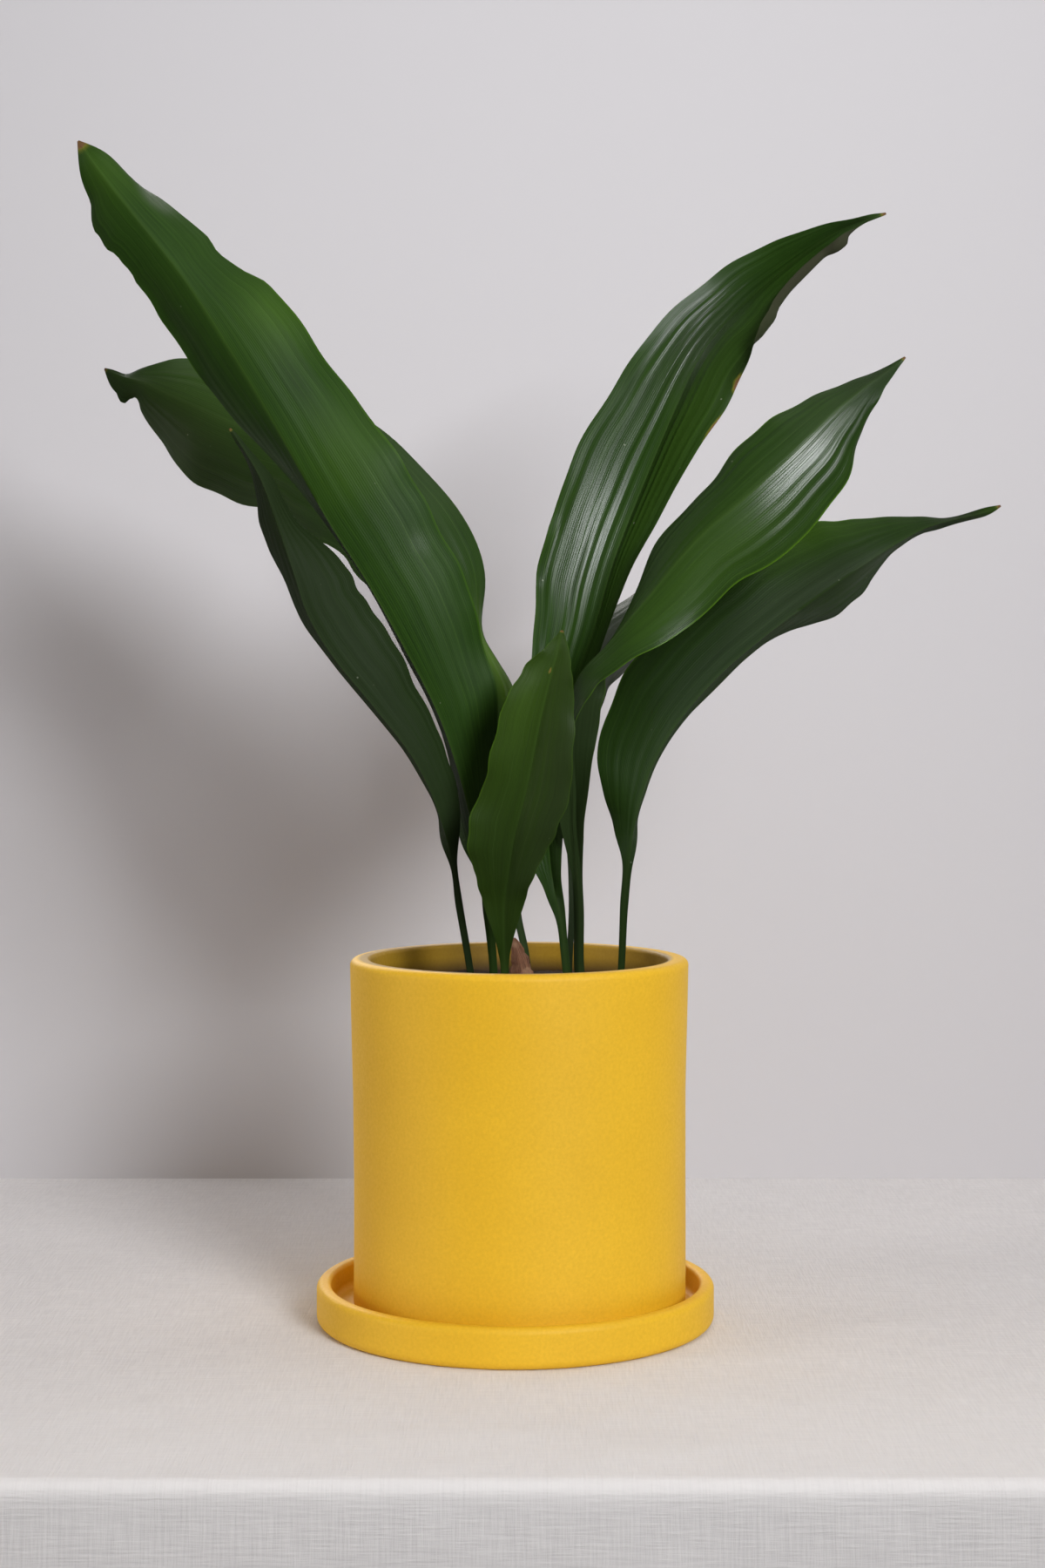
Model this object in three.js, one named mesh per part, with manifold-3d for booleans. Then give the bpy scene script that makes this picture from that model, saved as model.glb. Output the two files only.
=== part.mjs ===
// A potted cast iron plant: eight strap leaves and one dry sheath stand in the soil
// of a round pot, and the pot stands in its saucer.
// Millimetres, +Z up. The origin is the centre of the saucer's underside, the front is -Y.
import * as THREE from 'three';
import Module from 'manifold-3d';
import { mergeVertices } from 'three/addons/utils/BufferGeometryUtils.js';

const REST_GAP = 0.3;          // clearance between two pieces that touch
const LIP_OUTER_R = 3.2;       // roundings of the pot's and the saucer's flat-topped lips
const LIP_INNER_R = 2;

// saucer
const SAUCER_R = 97;
const SAUCER_HEIGHT = 19.5;
const SAUCER_WALL = 7;
const SAUCER_FLOOR = 7;
const SAUCER_EDGE_R = 4;       // rounding of the underside's edge

// pot
const POT_R = 82.5;            // outside, at the rim
const POT_WAIST_R = 81;        // outside, half way down
const POT_FOOT_R = 81.3;
const POT_HEIGHT = 170;
const POT_WALL = 10;
const POT_FLOOR = 10;
const POT_EDGE_R = 3;
const POT_RECESS = 2;          // the underside is hollowed inside its foot ring
const FOOT_RING_R = 58;
const DRAIN_R = 8;
const POT_SHIFT = 2;           // the pot stands this far right of the saucer's centre
const POT_BOTTOM = SAUCER_FLOOR + REST_GAP;

// soil
const SOIL_TOP = 163;
const SOIL_LUMP = 1.2;         // height of its uneven surface
const HOLE_R = 3.5;            // the plain hole that each leaf stalk stands in
const HOLE_BOTTOM = 139.7;
const SHEATH_HOLE = { x: 2.2, y: 3.4, r: 9, bottom: 151 };

// leaves
const BLADE_THICK = 0.9;
const STALK_RIB = 2.3;         // how far the midrib stands out behind the blade, at the stalk
const RIB_HALF_WIDTH = 2.4;
const BOW = -34;               // degrees that each half bends from the midrib to its margin
const WAVE = 2.0;              // height of the waves along a margin
const RINGS_PER_ROW = 2;

const ROUND = 48;              // sides of the pot and the saucer

const COLOURS = {
  glaze: { color: 0xe3b32c, roughness: 0.62, metalness: 0 },
  soil: { color: 0x2c2019, roughness: 0.95, metalness: 0 },
  sheath: { color: 0x7a4a2c, roughness: 0.85, metalness: 0 },
  leaf: { color: 0x24451c, roughness: 0.38, metalness: 0 },
};

// One row for each station from the foot in the soil to the tip:
// [x, y, z of the midrib, left and right half-width, left turn, right turn].
// A turn is how many degrees that half of the blade leans out of the X-Z plane towards the front.
const LEAVES = {
  leaf_front_left: [
    [-12, -8, 140, 2, 2, 0, 0],
    [-12, -8, 158, 2, 2, 0, 0],
    [-13, -9, 178, 2, 2, 0, 0],
    [-15, -10, 199, 2.5, 2.5, 0, 0],
    [-18, -12, 220, 3, 4, -20, -10],
    [-23, -16, 244, 14, 11, -59, -34],
    [-30, -20, 271, 18, 21, -80, -22],
    [-40, -24, 299, 22, 31, -88, -14],
    [-56, -28, 330, 23, 41, -93, -10],
    [-73, -30, 360, 24, 44, -94, -10],
    [-92, -32, 390, 24, 45, -88, -10],
    [-114, -34, 430, 23, 41, -60, -14],
    [-136, -35, 467, 26, 37, -44, -14],
    [-158, -35, 501, 25, 27, -38, -26],
    [-180, -34, 529, 23, 20, -30, -38],
    [-196, -32, 549, 13, 14, -26, -32],
    [-208, -30, 566, 0.5, 0.5, 0, 0],
  ],
  leaf_left: [
    [-22, -12, 140, 1.7, 1.7, 0, 0],
    [-22, -12, 158, 1.7, 1.7, 0, 0],
    [-25, -14, 180, 1.7, 1.7, 0, 0],
    [-29, -16, 204, 1.8, 1.8, 0, 0],
    [-32, -19, 225, 2, 2.2, -20, 0],
    [-37, -23, 244, 9, 10, -80, -24],
    [-43, -27, 261, 15, 15, -85, -30],
    [-53, -31, 279, 21, 20, -87, -30],
    [-70, -35, 301, 26, 26, -87, -25],
    [-87, -38, 322, 29, 30, -88, -23],
    [-99, -40, 342, 29, 29, -82, -21],
    [-106, -42, 363, 26, 26, -72, -32],
    [-114, -44, 387, 17, 14, -60, -60],
    [-121, -45, 406, 8, 8, -60, -49],
    [-129, -46, 420, 3, 3, -60, -50],
    [-135, -46, 429, 0.5, 0.5, 0, 0],
  ],
  leaf_back_left: [
    [5, 8, 140, 1.8, 1.8, 0, 0],
    [5, 8, 158, 1.8, 1.8, 0, 0],
    [3, 9, 178, 1.8, 1.8, 0, 0],
    [-1, 11, 197, 2, 2, 0, 0],
    [-4, 15, 218, 3, 3.5, 0, 0],
    [-7, 22, 246, 10, 12, -18, -30],
    [-12, 30, 274, 18, 17, -28, -35],
    [-19, 38, 305, 24, 20, -29, -40],
    [-29, 45, 333, 30, 22, -29, -57],
    [-40, 50, 361, 34, 28, -30, -41],
    [-58, 56, 388, 36, 34, -27, -29],
    [-82, 62, 413, 37, 36, -24, -28],
    [-110, 66, 430, 38, 36, -23, -27],
    [-137, 68, 441, 38, 34, -20, -27],
    [-160, 70, 451, 36, 35, -19, -20],
    [-178, 71, 459, 26, 29, -30, -20],
    [-194, 72, 467, 12, 12, -13, -30],
    [-205, 72, 470, 9, 4, -4, -60],
    [-214, 72, 474, 0.5, 0.5, 0, 0],
  ],
  leaf_centre: [
    [-7, -27, 140, 2, 2, 0, 0],
    [-7, -27, 158, 2, 2, 0, 0],
    [-7, -28, 175, 2, 2, 0, 0],
    [-7, -30, 186, 4, 3.5, 20, 20],
    [-7, -34, 205, 10, 9, 16, 18],
    [-5, -38, 220, 17, 12, 14, 20],
    [-2, -42, 239, 23, 18, 12, 18],
    [4, -46, 263, 21, 21, 14, 16],
    [10, -49, 293, 20, 17, 16, 18],
    [15, -50, 314, 14, 11, 16, 20],
    [18, -50, 325, 7, 6, 20, 22],
    [20, -50, 335, 0.5, 0.5, 0, 0],
  ],
  leaf_tall_right: [
    [24, -8, 140, 2, 2, 0, 0],
    [24, -8, 158, 2, 2, 0, 0],
    [22, -8, 180, 2, 2, 0, 0],
    [20, -8, 197, 2.5, 2.5, 0, 0],
    [17, -6, 211, 6, 5, 32, 40],
    [15, -3, 226, 13, 8, 32, 46],
    [14, 3, 249, 19, 11, 32, 46],
    [17, 10, 275, 22, 13, 30, 44],
    [25, 17, 305, 25, 11, 26, 46],
    [37, 23, 338, 33, 9, 14, 48],
    [47, 29, 372, 37, 14, 12, 45],
    [61, 37, 408, 39, 21, 12, 42],
    [77, 44, 446, 35, 27, 18, 40],
    [93, 49, 479, 29, 29, 26, 40],
    [114, 52, 504, 23, 26, 34, 42],
    [136, 54, 523, 18, 16, 40, 46],
    [158, 55, 539, 8, 9, 48, 50],
    [173, 55, 546, 3, 3, 55, 55],
    [186, 55, 550, 0.5, 0.5, 0, 0],
  ],
  leaf_mid_right: [
    [30, 0, 140, 2.5, 2.5, 180, 180],
    [30, 0, 158, 2.5, 2.5, 180, 180],
    [29, -1, 177, 2.5, 2.5, 180, 180],
    [29, -3, 198, 2.5, 2.5, 170, 170],
    [28, -5, 218, 3, 3, 150, 150],
    [26, -9, 241, 7, 8, 135, 140],
    [25, -13, 260, 10, 11, 150, 125],
    [23, -17, 279, 13, 13, 170, 100],
    [24, -21, 298, 16, 14, 195, 75],
    [29, -25, 315, 18, 16, 225, 55],
    [43, -29, 330, 19, 17, 262, 40],
    [60, -33, 350, 24, 24, 284, 15],
    [84, -36, 378, 27, 29, 302, -5],
    [108, -36, 399, 27, 33, 318, -12],
    [131, -32, 420, 24, 30, 325, -15],
    [149, -26, 438, 17, 21, 325, -10],
    [164, -21, 451, 9, 10, 320, 0],
    [175, -17, 459, 4, 4, 320, 0],
    [185, -14, 467, 0.5, 0.5, 320, 0],
  ],
  leaf_low_right: [
    [49, -4, 140, 1.7, 1.7, 0, 0],
    [49, -4, 158, 1.7, 1.7, 0, 0],
    [50, -4, 179, 1.7, 1.7, 0, 0],
    [51, -4, 203, 2, 2, 0, 0],
    [53, -2, 224, 3, 3, 0, -30],
    [56, 0, 241, 12, 8, -23, -80],
    [60, 2, 257, 21, 15, -13, -85],
    [67, 4, 275, 31, 22, -16, -87],
    [80, 7, 295, 37, 28, -14, -87],
    [98, 10, 315, 39, 32, -15, -88],
    [119, 13, 333, 40, 34, -15, -86],
    [139, 16, 348, 42, 35, -16, -76],
    [157, 18, 361, 38, 33, -22, -65],
    [172, 19, 371, 29, 27, -27, -71],
    [186, 20, 380, 20, 18, -35, -80],
    [201, 20, 388, 10, 8, -46, -75],
    [215, 20, 392, 4, 4, -60, -64],
    [228, 20, 395, 3, 3, -44, -55],
    [238, 20, 399, 0.5, 0.5, 0, 0],
  ],
  leaf_back: [
    [24, 13, 140, 1.5, 1.5, 0, 0],
    [24, 13, 158, 1.5, 1.5, 0, 0],
    [25, 14, 178, 1.5, 1.5, 0, 0],
    [26, 17, 204, 1.6, 1.6, 0, 0],
    [25, 24, 233, 2, 2, 0, 0],
    [24, 36, 261, 8, 5, -40, -40],
    [23, 54, 283, 24, 9, -35, -50],
    [26, 78, 303, 32, 15, -35, -55],
    [37, 104, 321, 32, 28, -36, -52],
    [53, 132, 339, 28, 30, -42, -49],
    [72, 158, 356, 19, 21, -45, -46],
    [87, 178, 370, 8, 8, -43, -43],
    [101, 192, 380, 0.5, 0.5, 0, 0],
  ],
};

// The dry sheath is a small leaf of its own, folded round the stalk of the back left leaf.
const SHEATH = [
  [2.5, 0, 152, 7.2, 7.2, -48, -48],
  [2, 0.3, 160, 7.4, 7.4, -46, -46],
  [1, 0.8, 168, 7.4, 7.6, -45, -45],
  [0, 1.4, 175, 5.5, 6.6, -42, -45],
  [-1.5, 2.2, 181, 3, 4.2, -30, -40],
  [-2.7, 3, 186.5, 0.6, 0.6, 0, 0],
];

const FRONT = new THREE.Vector3(0, -1, 0);
const rad = THREE.MathUtils.degToRad;
const clamp = THREE.MathUtils.clamp;

function material(slot) {
  return new THREE.MeshStandardMaterial(COLOURS[slot]);
}

// A row between the rows, on a Catmull-Rom curve through all of them; t runs from 0 to 1.
function rowAt(rows, t) {
  const last = rows.length - 1;
  const place = clamp(t, 0, 1) * last;
  const i = Math.min(Math.floor(place), last - 1);
  const u = place - i;
  const [a, b, c, d] = [i - 1, i, i + 1, i + 2].map((k) => rows[clamp(k, 0, last)]);
  return b.map((_, n) => 0.5 * (2 * b[n] + (c[n] - a[n]) * u
    + (2 * a[n] - 5 * b[n] + 4 * c[n] - d[n]) * u * u
    + (3 * b[n] - a[n] - 3 * c[n] + d[n]) * u * u * u));
}

function midrib(rows, t) {
  return new THREE.Vector3(...rowAt(rows, t).slice(0, 3));
}

// Where a half of the blade starts, steps and ends, as shares of its width.
function shares(width) {
  const rib = Math.min(0.35, RIB_HALF_WIDTH / width);
  return [rib, (1 + rib) / 2, 1];
}

// The upper and the lower points of the leaf's cross-section at t, from the left margin to the right.
function section(rows, t, wavePhase) {
  const [x, y, z, left, right, leftTurn, rightTurn] = rowAt(rows, t);
  const step = 0.2 / (rows.length - 1);
  const along = midrib(rows, t + step).sub(midrib(rows, t - step)).normalize();
  const side = along.clone().cross(FRONT).normalize();
  const face = side.clone().cross(along);
  const centre = new THREE.Vector3(x, y, z);
  const direction = (sign, turn) => side.clone().multiplyScalar(sign * Math.cos(turn))
    .addScaledVector(face, Math.sin(turn));
  const normal = (sign, turn) => side.clone().multiplyScalar(-sign * Math.sin(turn))
    .addScaledVector(face, Math.cos(turn));
  const columns = [];
  const half = (sign, width, turn) => {
    const bow = rad(BOW) * clamp((width - 4) / 12, 0, 1);
    for (const s of shares(width)) {
      const wave = WAVE * clamp(width / 30, 0, 1) * s * s
        * (Math.sin(2 * Math.PI * 5 * t + wavePhase + sign)
          + 0.6 * Math.sin(2 * Math.PI * 8.3 * t + 2 * wavePhase - sign));
      const out = normal(sign, turn + bow * (s - 0.5));
      const point = centre.clone().addScaledVector(direction(sign, turn + bow * (s - 1) / 2), width * s)
        .addScaledVector(out, wave);
      columns.push({ point, out, reach: s * width, sign });
    }
  };
  half(-1, Math.max(left, 0.5), rad(leftTurn));
  columns.reverse();
  const middle = normal(-1, rad(leftTurn)).add(normal(1, rad(rightTurn))).normalize();
  columns.push({ point: centre, out: middle, reach: 0, sign: 0 });
  half(1, Math.max(right, 0.5), rad(rightTurn));
  const rib = STALK_RIB * clamp(1.1 - 1.2 * t, 0.1, 1);
  const thickness = (reach) => BLADE_THICK / 2 + rib * Math.max(0, 1 - (reach / RIB_HALF_WIDTH) ** 2);
  return {
    upper: columns.map((c) => c.point.clone().addScaledVector(c.out, BLADE_THICK / 2)),
    lower: columns.map((c) => c.point.clone().addScaledVector(c.out, -thickness(c.reach))),
  };
}

// A leaf is its cross-sections joined into one closed skin, split alike on both faces.
function leafGeometry(rows, wavePhase) {
  const rings = (rows.length - 1) * RINGS_PER_ROW;
  const points = [];
  for (let k = 0; k <= rings; k += 1) {
    const { upper, lower } = section(rows, k / rings, wavePhase);
    points.push(...upper, ...lower);
  }
  const columns = points.length / (rings + 1) / 2;
  const at = (ring, column, isLower) => (ring * 2 + isLower) * columns + column;
  const index = [];
  const quad = (a, b, c, d) => index.push(a, b, c, a, c, d);
  for (let k = 0; k < rings; k += 1) {
    for (let c = 0; c < columns - 1; c += 1) {
      quad(at(k, c, 0), at(k, c + 1, 0), at(k + 1, c + 1, 0), at(k + 1, c, 0));
      index.push(at(k, c, 1), at(k + 1, c + 1, 1), at(k, c + 1, 1));
      index.push(at(k, c, 1), at(k + 1, c, 1), at(k + 1, c + 1, 1));
    }
    quad(at(k, 0, 1), at(k, 0, 0), at(k + 1, 0, 0), at(k + 1, 0, 1));
    const edge = columns - 1;
    quad(at(k, edge, 0), at(k, edge, 1), at(k + 1, edge, 1), at(k + 1, edge, 0));
  }
  for (let c = 0; c < columns - 1; c += 1) {
    quad(at(0, c, 1), at(0, c + 1, 1), at(0, c + 1, 0), at(0, c, 0));
    quad(at(rings, c, 0), at(rings, c + 1, 0), at(rings, c + 1, 1), at(rings, c, 1));
  }
  const geometry = new THREE.BufferGeometry().setFromPoints(points);
  geometry.setIndex(index);
  geometry.computeVertexNormals();
  return geometry;
}

function arc(cx, cy, radius, fromDegrees, toDegrees, steps) {
  return Array.from({ length: steps + 1 }, (_, i) => {
    const angle = rad(fromDegrees + (toDegrees - fromDegrees) * i / steps);
    return new THREE.Vector2(cx + radius * Math.cos(angle), cy + radius * Math.sin(angle));
  });
}

// A closed profile of radius and height, turned about Z.
function turned(profile) {
  const geometry = new THREE.LatheGeometry([...profile, profile[0].clone()], ROUND);
  return geometry.rotateX(Math.PI / 2);
}

function saucerGeometry() {
  const inner = SAUCER_R - SAUCER_WALL;
  return turned([
    new THREE.Vector2(0, 0),
    ...arc(SAUCER_R - SAUCER_EDGE_R, SAUCER_EDGE_R, SAUCER_EDGE_R, -90, 0, 4),
    ...arc(SAUCER_R - LIP_OUTER_R, SAUCER_HEIGHT - LIP_OUTER_R, LIP_OUTER_R, 0, 90, 4),
    ...arc(inner + LIP_INNER_R, SAUCER_HEIGHT - LIP_INNER_R, LIP_INNER_R, 90, 180, 3),
    ...arc(inner - 3, SAUCER_FLOOR + 3, 3, 0, -90, 3),
    new THREE.Vector2(0, SAUCER_FLOOR),
  ]);
}

function potGeometry() {
  const inner = POT_R - POT_WALL;
  return turned([
    new THREE.Vector2(DRAIN_R, POT_RECESS),
    new THREE.Vector2(FOOT_RING_R, POT_RECESS),
    new THREE.Vector2(FOOT_RING_R + POT_RECESS, 0),
    ...arc(POT_FOOT_R - POT_EDGE_R, POT_EDGE_R, POT_EDGE_R, -90, 0, 3),
    new THREE.Vector2(POT_WAIST_R, POT_HEIGHT * 0.38),
    new THREE.Vector2(POT_WAIST_R + 0.2, POT_HEIGHT * 0.62),
    new THREE.Vector2(POT_R - 0.4, POT_HEIGHT * 0.85),
    ...arc(POT_R - LIP_OUTER_R, POT_HEIGHT - LIP_OUTER_R, LIP_OUTER_R, 0, 90, 4),
    ...arc(inner + LIP_INNER_R, POT_HEIGHT - LIP_INNER_R, LIP_INNER_R, 90, 180, 3),
    ...arc(inner - 6, POT_FLOOR + 6, 6, 0, -90, 3),
    new THREE.Vector2(DRAIN_R, POT_FLOOR),
  ]);
}

// The uneven height of the soil's surface.
function lump(x, y) {
  return SOIL_LUMP * (Math.sin(x * 0.21 + 1) * Math.cos(y * 0.17) + 0.6 * Math.sin(x * 0.43 - y * 0.37));
}

function soilBlock() {
  const radius = POT_R - POT_WALL - REST_GAP;
  const bottom = POT_BOTTOM + POT_FLOOR + REST_GAP;
  const rings = Array.from({ length: 6 }, (_, i) => new THREE.Vector2(radius * (1 - i / 6), SOIL_TOP));
  const geometry = turned([
    new THREE.Vector2(0, bottom),
    ...arc(radius - 6, bottom + 6, 6, -90, 0, 3),
    ...rings,
    new THREE.Vector2(0, SOIL_TOP),
  ]);
  const position = geometry.attributes.position;
  for (let i = 0; i < position.count; i += 1) {
    if (position.getZ(i) > SOIL_TOP - 1) {
      position.setZ(i, SOIL_TOP + lump(position.getX(i), position.getY(i)));
    }
  }
  return geometry;
}

function hole(x, y, radius, bottom) {
  const depth = SOIL_TOP + 10 - bottom;
  const geometry = new THREE.CylinderGeometry(radius, radius, depth, 12);
  return geometry.rotateX(Math.PI / 2).translate(x, y, bottom + depth / 2);
}

function toSolid(wasm, geometry) {
  const bare = geometry.clone();
  bare.deleteAttribute('normal');
  bare.deleteAttribute('uv');
  const merged = mergeVertices(bare, 1e-4);
  return new wasm.Manifold(new wasm.Mesh({
    numProp: 3,
    vertProperties: Float32Array.from(merged.attributes.position.array),
    triVerts: Uint32Array.from(merged.index.array),
  }));
}

function fromSolid(solid) {
  const mesh = solid.getMesh();
  const geometry = new THREE.BufferGeometry();
  geometry.setAttribute('position', new THREE.BufferAttribute(mesh.vertProperties, 3));
  geometry.setIndex(new THREE.BufferAttribute(mesh.triVerts, 1));
  geometry.computeVertexNormals();
  return geometry;
}

function soilGeometry(wasm) {
  let soil = toSolid(wasm, soilBlock());
  for (const rows of Object.values(LEAVES)) {
    soil = soil.subtract(toSolid(wasm, hole(rows[0][0], rows[0][1], HOLE_R, HOLE_BOTTOM)));
  }
  const { x, y, r, bottom } = SHEATH_HOLE;
  return fromSolid(soil.subtract(toSolid(wasm, hole(x, y, r, bottom))));
}

function named(name, geometry, slot) {
  const mesh = new THREE.Mesh(geometry, material(slot));
  mesh.name = name;
  return mesh;
}

function buildPlant() {
  const plant = new THREE.Group();
  Object.entries(LEAVES).forEach(([name, rows], i) => {
    plant.add(named(name, leafGeometry(rows, i * 1.7), 'leaf'));
  });
  plant.add(named('sheath', leafGeometry(SHEATH, 0), 'sheath'));
  return plant;
}

function buildPot(wasm) {
  const potted = new THREE.Group();
  potted.position.x = POT_SHIFT;
  const pot = named('pot', potGeometry(), 'glaze');
  pot.position.z = POT_BOTTOM;
  potted.add(pot, named('soil', soilGeometry(wasm), 'soil'), buildPlant());
  return potted;
}

const wasm = await Module();
wasm.setup();

const object = new THREE.Group();
object.add(named('saucer', saucerGeometry(), 'glaze'), buildPot(wasm));

export default object;
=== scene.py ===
"""A potted cast iron plant on a pale table, seen from the front and a little above.

The origin is the centre of the saucer's underside, Z is up and -Y is the front. The plant, the pot
and the saucer are worked out in millimetres, and the meshes are in metres.
"""
import math

import bpy
import numpy as np
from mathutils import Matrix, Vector, noise


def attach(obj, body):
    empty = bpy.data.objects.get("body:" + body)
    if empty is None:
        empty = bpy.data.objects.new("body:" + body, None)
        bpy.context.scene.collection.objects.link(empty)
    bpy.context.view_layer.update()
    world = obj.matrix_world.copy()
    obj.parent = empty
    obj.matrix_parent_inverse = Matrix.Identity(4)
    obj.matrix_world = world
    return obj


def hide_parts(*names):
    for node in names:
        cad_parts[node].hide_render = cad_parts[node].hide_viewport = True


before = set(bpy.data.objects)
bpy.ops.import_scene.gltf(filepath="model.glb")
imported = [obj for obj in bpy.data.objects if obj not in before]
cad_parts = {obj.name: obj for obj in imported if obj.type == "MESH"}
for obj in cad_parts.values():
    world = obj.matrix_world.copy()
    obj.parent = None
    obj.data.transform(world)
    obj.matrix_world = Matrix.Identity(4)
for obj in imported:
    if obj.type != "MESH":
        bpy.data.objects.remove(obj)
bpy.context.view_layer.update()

MM = 0.001                # a millimetre in metres

# leaves, in millimetres
BLADE_THICK = 0.5
SHEATH_THICK = 0.7
STALK_RIB = 2.3           # how far the midrib stands out behind the blade, at the stalk
RIB_HALF_WIDTH = 2.4
HALF_MIN = 0.5            # a half of the blade is never narrower
BOW = -34                 # degrees that each half bends from the midrib to its margin
WAVE = 2.0                # height of the waves along a margin
EDGE_WOBBLE = 0.35        # how far the margin strays in the plane of the blade
UNDER_WAX = 0.15          # share of the upper face's wax that the lower face has
SEED_STEP = 1.7           # radians by which one leaf's waves and folds are shifted from the next's

# faces of a leaf
COLUMNS = 30              # across each half
RINGS_PER_ROW = 10

# pot, saucer and soil, in millimetres
POT_SHIFT = 2             # the pot stands this far right of the saucer's centre
POT_BOTTOM = 7.3
POT_INNER_R = 72.5
SOIL_TOP = 163
SOIL_BOTTOM = POT_BOTTOM + 10.3
SOIL_GAP = 0.6            # between the soil and the pot's wall
SOIL_BEVEL = 6            # at the foot of the soil
AXIS_R = 0.02             # the smallest radius of what is turned about its axis

# faces of the pottery and the soil
TURNED_SIDES = 192
SOIL_SIDES = 220
SOIL_RINGS = 90           # from the soil's edge to its middle

# degrees between two faces from which their edge is sharp
SHARP_LEAF = 60
SHARP_POTTERY = 50

# table and wall, in metres
TABLE_HALF_WIDTH = 1.6
TABLE_BACK = 0.35
TABLE_FRONT = -0.243
EDGE_RADIUS = 0.007       # where the linen turns over the table's front edge
HEM_OUT = 0.09            # how far the linen's hem stands out in front of that edge
HEM_HEIGHT = -0.6
WALL_FOOT = -0.02
WALL_TOP = 1.8

# camera, as it was fitted to the rims of the pot and the saucer
LENS = 54.4               # millimetres
CAMERA_PLACE = (0.0035, -1.155, 0.295)
CAMERA_TILT = 0.0286      # radians below the horizon
CAMERA_REACH = 20         # metres

# Lights: place, target, diameter in metres, watts, degrees of spread and colour
LIGHTS = {
    "window": ((1.13, -2.13, 1.25), (0, 0.1, 0.7), 1.0, 9.3, 60, (0.975, 0.99, 1.01)),
    "room": ((-0.7, -1.9, 2.0), (0, 0, 0.25), 2.2, 3, 180, (1.0, 0.90, 0.86)),
    "reflector": ((-1.45, -0.55, 0.4), (0, -0.08, 0.12), 0.9, 0.65, 40, (1.0, 0.94, 0.88)),
    "ceiling": ((0.4, -0.3, 2.4), (0, -0.1, 0.2), 2.0, 14.5, 180, (1.0, 0.95, 0.93)),
    "back": ((-0.6, 1.9, 1.3), (0, 0.05, 0.35), 1.4, 3.0, 60, (1.0, 0.97, 0.95)),
}
SKY_COLOUR = (1.0, 0.91, 0.87)
SKY_STRENGTH = 0.1

# Paints, in linear light
PAINT = {
    "leaf": (0.013, 0.038, 0.0035),
    "leaf streak": (0.021, 0.056, 0.006),
    "leaf blotch": (0.028, 0.072, 0.007),
    "leaf thread": (0.007, 0.020, 0.002),
    "leaf warm": (0.042, 0.066, 0.004),
    "leaf pale and painted light": (0.11, 0.25, 0.007),
    "leaf vein": (0.08, 0.15, 0.03),
    "leaf grey and painted sheen": (0.020, 0.028, 0.013),
    "leaf dark and painted shade": (0.005, 0.011, 0.002),
    "underside": (0.030, 0.048, 0.018),
    "dull underside": (0.060, 0.052, 0.036),
    "yellowed": (0.20, 0.19, 0.02),
    "withered": (0.05, 0.02, 0.008),
    "withered light": (0.24, 0.14, 0.06),
    "dust": (0.30, 0.33, 0.24),
    "sheath": (0.055, 0.018, 0.008),
    "sheath light": (0.30, 0.13, 0.06),
    "sheath stain": (0.42, 0.25, 0.14),
    "glaze": (0.79, 0.455, 0.012),
    "glaze light": (0.87, 0.52, 0.017),
    "glaze speckle": (0.58, 0.32, 0.008),
    "inner wall shade": (0.05, 0.022, 0.001),
    "inner wall shade pale": (0.10, 0.05, 0.004),
    "soil": (0.008, 0.005, 0.003),
    "soil crumb": (0.075, 0.042, 0.022),
    "soil dry": (0.035, 0.024, 0.016),
    "linen": (0.72, 0.70, 0.70),
    "linen light": (0.815, 0.795, 0.79),
    "linen slub": (0.87, 0.85, 0.845),
    "linen painted light": (0.96, 0.94, 0.93),
    "wall": (0.575, 0.56, 0.575),
}

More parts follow.
